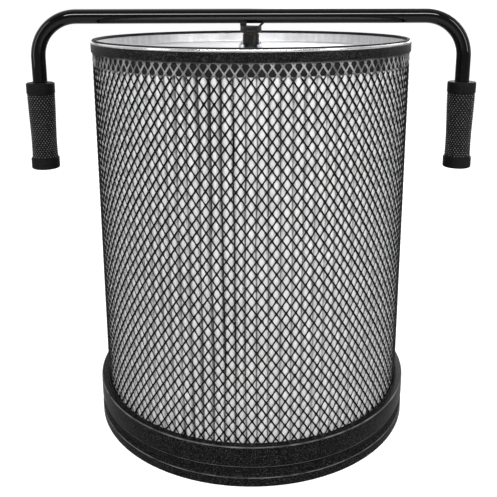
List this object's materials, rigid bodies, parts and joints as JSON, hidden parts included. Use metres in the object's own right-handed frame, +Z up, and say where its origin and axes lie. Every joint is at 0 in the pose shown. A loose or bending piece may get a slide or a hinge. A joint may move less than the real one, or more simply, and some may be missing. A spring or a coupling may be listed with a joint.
{
  "type": "dust collector canister filter",
  "caption": "Pleated canister filter in an expanded-metal cage, on a black base ring, with a recessed lid and a U-shaped handle that turns cleaning flaps inside.",
  "frame": {"origin": "centre of the base ring's lower lip, on the surface that the canister stands on", "axes": "+Z up along the canister's centreline, which the handle turns about; +X along the handle, towards the right grip; -Y the front"},
  "size_m": [0.7014, 0.503, 0.6446],
  "materials": {
    "powder_black": "black powder coat with a fine grain",
    "gloss_black": "gloss black enamel",
    "hub_black": "satin black paint",
    "cage_steel": "dull zinc-coated expanded metal",
    "lid_steel": "bright galvanised sheet, brushed",
    "bead_steel": "bright rolled edge",
    "filter_media": "pleated light grey polyester media",
    "potting_resin": "cast dark resin",
    "grip_rubber": "moulded rubber with a fine diamond grain",
    "edging_rubber": "smooth black edging",
    "gasket_rubber": "closed-cell sponge",
    "flap_rubber": "smooth sheet rubber",
    "zinc_steel": "bright zinc plate",
    "shaft_steel": "ground bar",
    "screw_black": "black oxide",
    "bearing_brass": "turned, oiled",
    "rivet_alloy": "plain"
  },
  "bodies": {
    "canister": {"base_ring": "powder_black", "base_gasket": "gasket_rubber", "bottom_crossbar": "zinc_steel", "crossbar_rivets": "zinc_steel", "lower_bush": "bearing_brass", "bottom_potting": "potting_resin", "filter_pleats": "filter_media", "mesh_seam_strip": "cage_steel", "outer_mesh": "cage_steel", "top_potting": "potting_resin", "lid_plate": "lid_steel", "top_band": "powder_black", "rim_edging": "edging_rubber", "lid_bead": "bead_steel", "lid_backing_plate": "zinc_steel", "hub_housing": "hub_black", "upper_bush": "bearing_brass", "hub_studs": "zinc_steel", "hub_washers": "zinc_steel", "hub_nuts": "zinc_steel"},
    "sweeper": {"drive_shaft": "shaft_steel", "thrust_washers": "bearing_brass", "retaining_collar": "zinc_steel", "retaining_screw": "screw_black", "handle_collar": "hub_black", "collar_set_screw": "screw_black", "handle_saddle": "hub_black", "handle_tube": "gloss_black", "left_grip": "grip_rubber", "right_grip": "grip_rubber", "upper_arm": "zinc_steel", "lower_arm": "zinc_steel", "arm_set_screws": "screw_black", "arm_bolts": "zinc_steel", "arm_nuts": "zinc_steel", "left_paddle_bar": "zinc_steel", "right_paddle_bar": "zinc_steel", "left_flap": "flap_rubber", "right_flap": "flap_rubber", "left_clamp_strip": "zinc_steel", "right_clamp_strip": "zinc_steel", "flap_rivets": "rivet_alloy"}
  },
  "joints": [
    {"name": "handle_turn", "type": "hinge", "parent": "canister", "child": "sweeper", "pos_m": [0, 0, 0.6], "axis": [0, 0, 1], "continuous": true}
  ]
}
